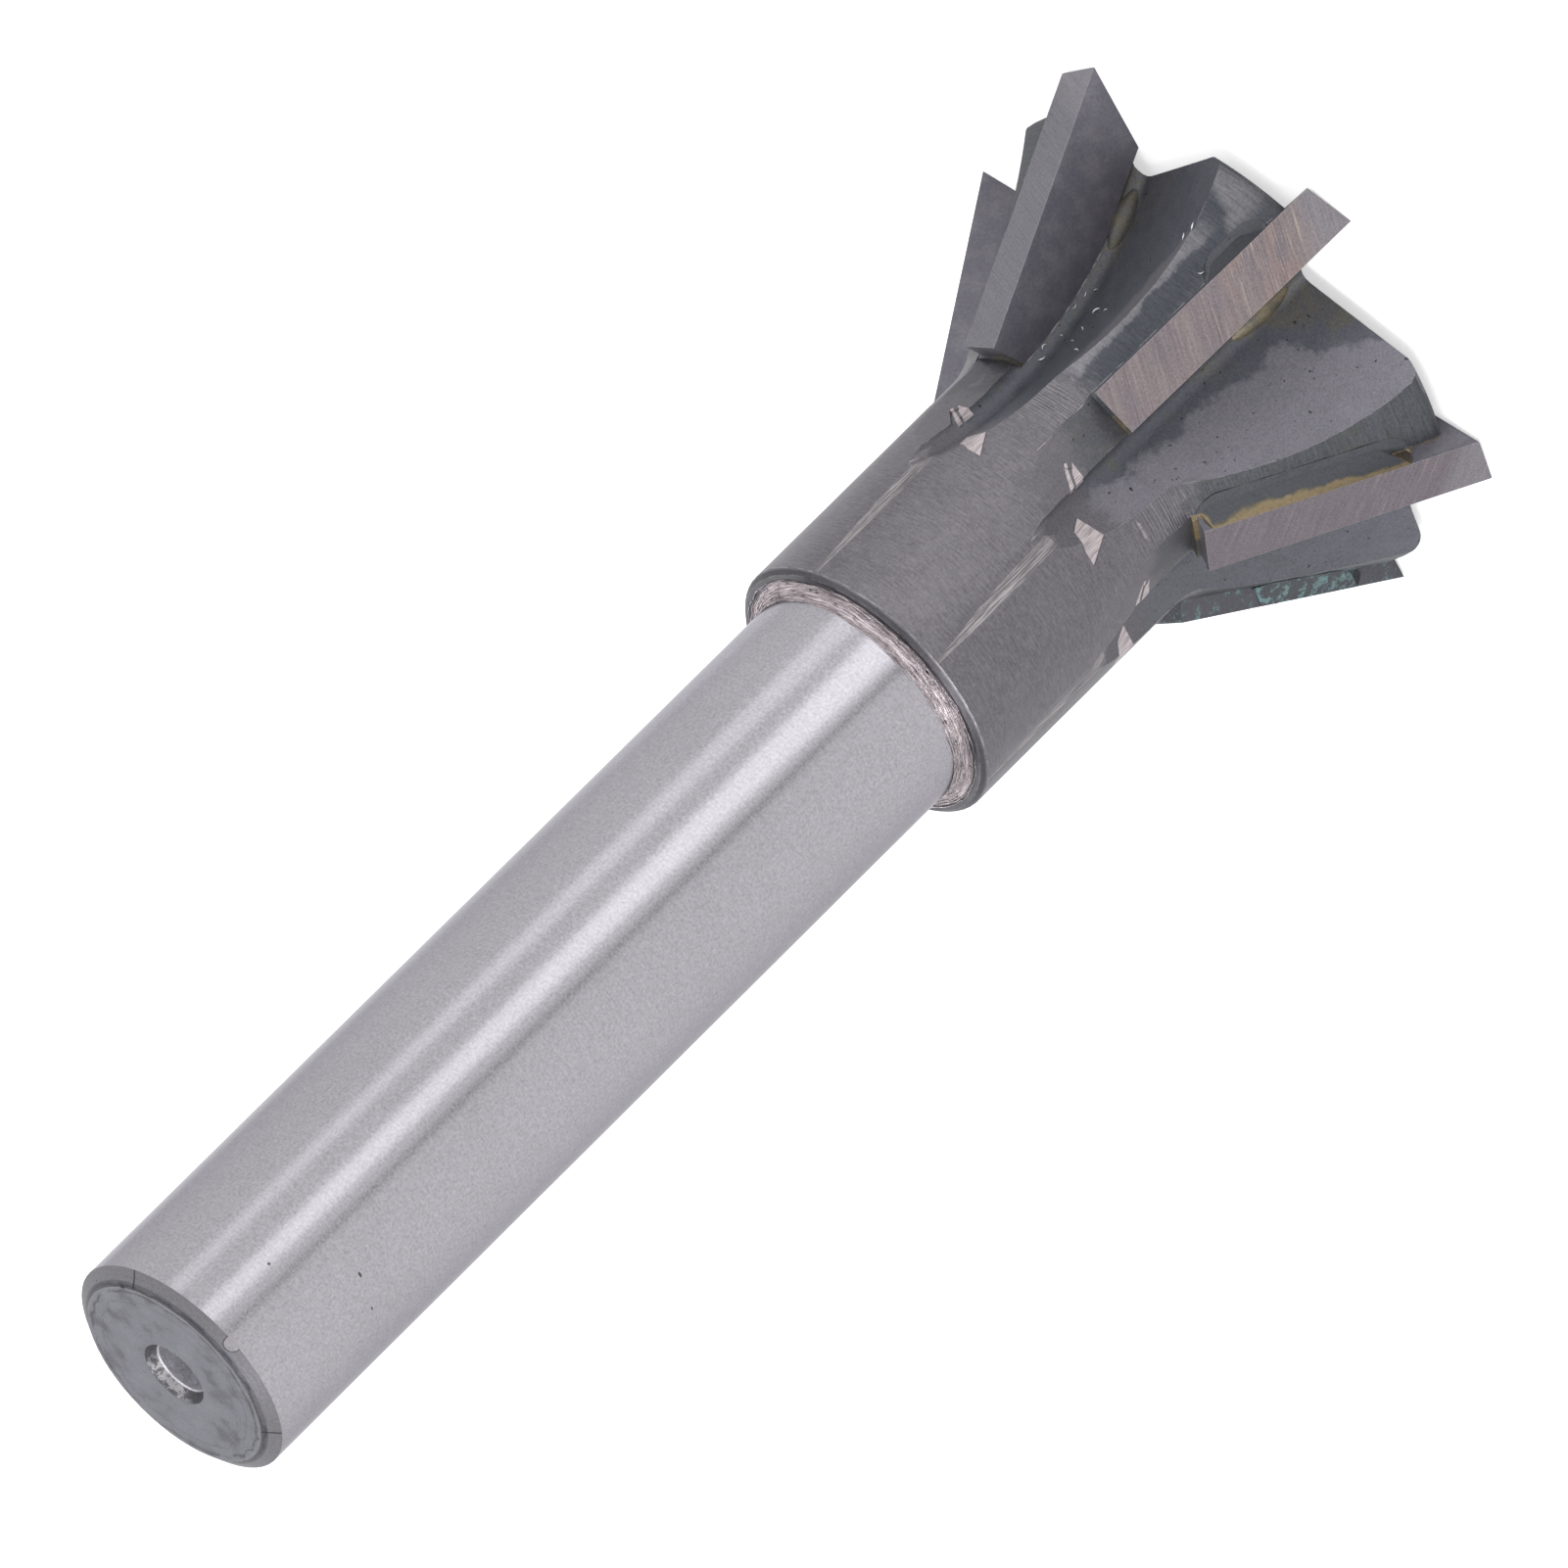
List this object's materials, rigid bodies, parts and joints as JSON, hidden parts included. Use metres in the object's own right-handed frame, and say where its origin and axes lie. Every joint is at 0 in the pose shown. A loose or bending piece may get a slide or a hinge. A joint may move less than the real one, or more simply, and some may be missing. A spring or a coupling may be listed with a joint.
{
  "type": "dovetail cutter",
  "caption": "Dovetail milling cutter with brazed carbide tips on a flared head, sixty degree sides and a plain round shank, standing on its cutting end.",
  "frame": {"origin": "on the cutter's axis, in the plane of the tip points that it stands on", "axes": "+Z along the cutter's axis from the cutting end to the shank end, one tip's rake face in the plane X = 0 on the -Y side"},
  "size_m": [0.0376, 0.041, 0.1022],
  "materials": {
    "body_steel": "ground shank, turned and flux-darkened head",
    "tip_carbide": "ground carbide with fine slanting grinding lines",
    "braze_metal": "dull braze with flux stains"
  },
  "bodies": {
    "root": {"cutter_body": "body_steel", "tip_1": "tip_carbide", "tip_2": "tip_carbide", "tip_3": "tip_carbide", "tip_4": "tip_carbide", "tip_5": "tip_carbide", "tip_6": "tip_carbide", "braze_1": "braze_metal", "braze_2": "braze_metal", "braze_3": "braze_metal", "braze_4": "braze_metal", "braze_5": "braze_metal", "braze_6": "braze_metal"}
  },
  "joints": []
}
